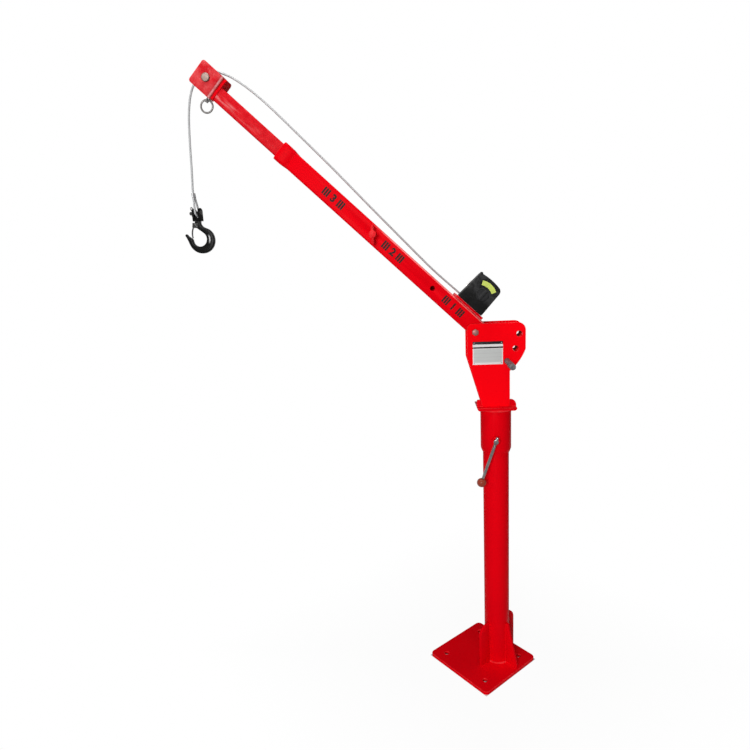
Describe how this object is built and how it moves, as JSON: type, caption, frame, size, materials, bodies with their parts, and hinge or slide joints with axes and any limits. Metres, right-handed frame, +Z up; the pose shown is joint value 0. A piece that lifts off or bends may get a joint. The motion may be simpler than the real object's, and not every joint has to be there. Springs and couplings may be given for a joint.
{
  "type": "pickup truck crane",
  "caption": "Bolt-down pickup truck crane: swivelling mast head, luffing telescopic box boom, electric winch and a swivel hook on wire rope.",
  "frame": {"origin": "on the mast's axis at the base plate's underside", "axes": "+Z up along the mast; the boom lies in the XZ plane and reaches towards -X; the winch's gear side and the lock lever face -Y"},
  "size_m": [1.0003, 0.3234, 1.8276],
  "materials": {
    "red_paint": "gloss",
    "zinc_steel": "satin",
    "wire_rope": "satin",
    "black_paint": "satin",
    "forged_black": "matte",
    "bronze": "satin",
    "brown_plastic": "gloss",
    "silver_plate": "satin",
    "yellow_band": "gloss",
    "black_plastic": "satin"
  },
  "bodies": {
    "mast": {"base_plate": "red_paint", "mast_tube": "red_paint", "mast_cap": "zinc_steel", "thrust_washer": "bronze", "gusset_left": "red_paint", "gusset_back": "red_paint", "gusset_front": "red_paint"},
    "head": {"swivel_sleeve": "red_paint", "sleeve_bushes": "bronze", "flange_bracket": "red_paint", "side_plate_near": "red_paint", "side_plate_far": "red_paint", "pivot_bolt": "zinc_steel", "pivot_nut": "zinc_steel", "rating_plate": "silver_plate", "clamp_boss": "red_paint"},
    "lock_lever": {"clamp_screw": "zinc_steel", "lever_rod": "zinc_steel", "ball_knob": "brown_plastic"},
    "angle_pin": {"angle_pin": "zinc_steel"},
    "boom": {"outer_boom": "red_paint", "pivot_bush": "bronze", "boom_collar": "red_paint", "winch_plate": "red_paint", "winch_bolts": "zinc_steel", "gear_housing": "black_paint", "drum_support": "black_paint", "motor_housing": "black_paint", "motor_cap": "black_paint", "tie_rods": "zinc_steel", "winch_band": "yellow_band", "rope_lead": "wire_rope"},
    "extension_pin": {"extension_pin": "zinc_steel", "extension_pin_bar": "red_paint"},
    "clutch": {"clutch_knob": "black_plastic"},
    "drum": {"drum": "black_paint", "rope_winding": "wire_rope"},
    "inner_boom": {"inner_boom": "red_paint", "end_plate": "red_paint", "yoke_stud": "red_paint", "stud_washer": "red_paint", "sheave_yoke": "red_paint", "sheave_pin": "zinc_steel", "sheave_nut": "zinc_steel", "sheave_spacers": "zinc_steel", "ring_staple": "zinc_steel", "rope_wrap": "wire_rope"},
    "sheave": {"sheave": "zinc_steel", "sheave_bush": "bronze"},
    "ring": {"hook_ring": "zinc_steel"},
    "fall": {"rope_fall": "wire_rope"},
    "rope_end": {"ferrule": "zinc_steel", "rope_eye": "wire_rope"},
    "jaw": {"jaw": "forged_black", "jaw_pin": "zinc_steel", "jaw_cotter": "zinc_steel"},
    "hook": {"hook": "forged_black", "latch_pin": "zinc_steel"},
    "latch": {"hook_latch": "zinc_steel"}
  },
  "joints": [
    {"name": "swivel", "type": "hinge", "parent": "mast", "child": "head", "pos_m": [0, 0, 0.836], "axis": [0, 0, 1], "continuous": true},
    {"name": "lock_turn", "type": "hinge", "parent": "head", "child": "lock_lever", "pos_m": [-0.007, -0.05959, 0.75], "axis": [-0.1167, -0.9932, 0], "range_deg": [-90, 90]},
    {"name": "angle_pin_slide", "type": "slide", "parent": "head", "child": "angle_pin", "axis": [0, 1, 0], "range_m": [0, 0.066]},
    {"name": "luff", "type": "hinge", "parent": "head", "child": "boom", "pos_m": [-0.0598, 0, 1.0645], "axis": [0, 1, 0], "range_deg": [-40, 0], "deforming": ["rope_wrap"]},
    {"name": "extension_pin_slide", "type": "slide", "parent": "boom", "child": "extension_pin", "axis": [0, 1, 0], "range_m": [0, 0.014]},
    {"name": "clutch_turn", "type": "hinge", "parent": "boom", "child": "clutch", "pos_m": [-0.04698, -0.1, 1.17279], "axis": [0, 1, 0], "range_deg": [0, 90]},
    {"name": "drum_spin", "type": "hinge", "parent": "boom", "child": "drum", "pos_m": [-0.04698, 0, 1.17279], "axis": [0, 1, 0], "continuous": true},
    {"name": "boom_extend", "type": "slide", "parent": "boom", "child": "inner_boom", "axis": [-0.7193, 0, 0.6947], "range_m": [-0.2228, 0.2228], "deforming": ["rope_lead"]},
    {"name": "sheave_spin", "type": "hinge", "parent": "inner_boom", "child": "sheave", "pos_m": [-0.77178, 0, 1.78333], "axis": [0, 1, 0], "continuous": true},
    {"name": "ring_swing", "type": "hinge", "parent": "inner_boom", "child": "ring", "pos_m": [-0.78478, 0, 1.72957], "axis": [0, 1, 0], "range_deg": [0, 90]},
    {"name": "fall_level", "type": "hinge", "parent": "inner_boom", "child": "fall", "pos_m": [-0.77178, 0, 1.78333], "axis": [0, 1, 0], "range_deg": [0, 40]},
    {"name": "hoist", "type": "slide", "parent": "fall", "child": "rope_end", "axis": [0, 0, 1], "range_m": [-1.2, 0.2], "deforming": ["rope_fall", "rope_lead"]},
    {"name": "jaw_swing", "type": "hinge", "parent": "rope_end", "child": "jaw", "pos_m": [-0.844, 0, 1.43524], "axis": [0.9659, -0.2588, 0], "range_deg": [-40, 40]},
    {"name": "hook_swivel", "type": "hinge", "parent": "jaw", "child": "hook", "pos_m": [-0.844, 0, 1.41], "axis": [0, 0, 1], "continuous": true},
    {"name": "latch_open", "type": "hinge", "parent": "hook", "child": "latch", "pos_m": [-0.847, 0, 1.40224], "axis": [0, 1, 0], "range_deg": [-35, 0], "stiffness_Nm_per_rad": 0.05}
  ],
  "couplings": [
    {"joint": "drum_spin", "follows": "hoist", "rad_per_m": -29.412},
    {"joint": "sheave_spin", "follows": "hoist", "rad_per_m": 37.037},
    {"joint": "fall_level", "follows": "luff", "ratio": -1}
  ]
}
